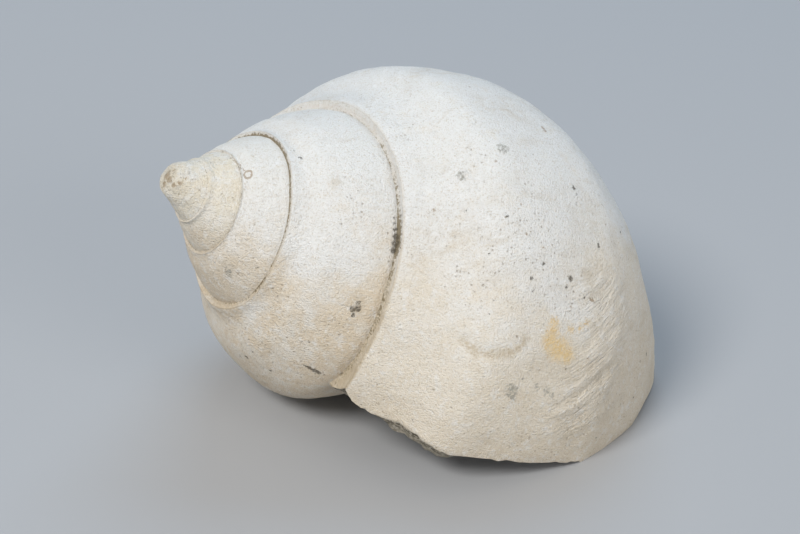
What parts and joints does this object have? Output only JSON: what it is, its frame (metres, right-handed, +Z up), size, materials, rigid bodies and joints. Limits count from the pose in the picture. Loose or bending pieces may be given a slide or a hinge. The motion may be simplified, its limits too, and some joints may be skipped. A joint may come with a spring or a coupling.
{
  "type": "fossil moon snail shell",
  "caption": "Right-handed fossil sea snail shell with a swollen last whorl, channelled sutures, a short worn spire and a wide open aperture with a broken lip.",
  "frame": {"origin": "middle of the bounding box's underside, on the surface that the shell lies on", "axes": "+Z up, -Y towards the viewer of the picture, +X to the right from the tip of the spire towards the base"},
  "size_m": [0.0696, 0.0548, 0.0451],
  "materials": {
    "shell": "matte, chalky, finely pitted"
  },
  "bodies": {
    "root": {"shell": "shell"}
  },
  "joints": []
}
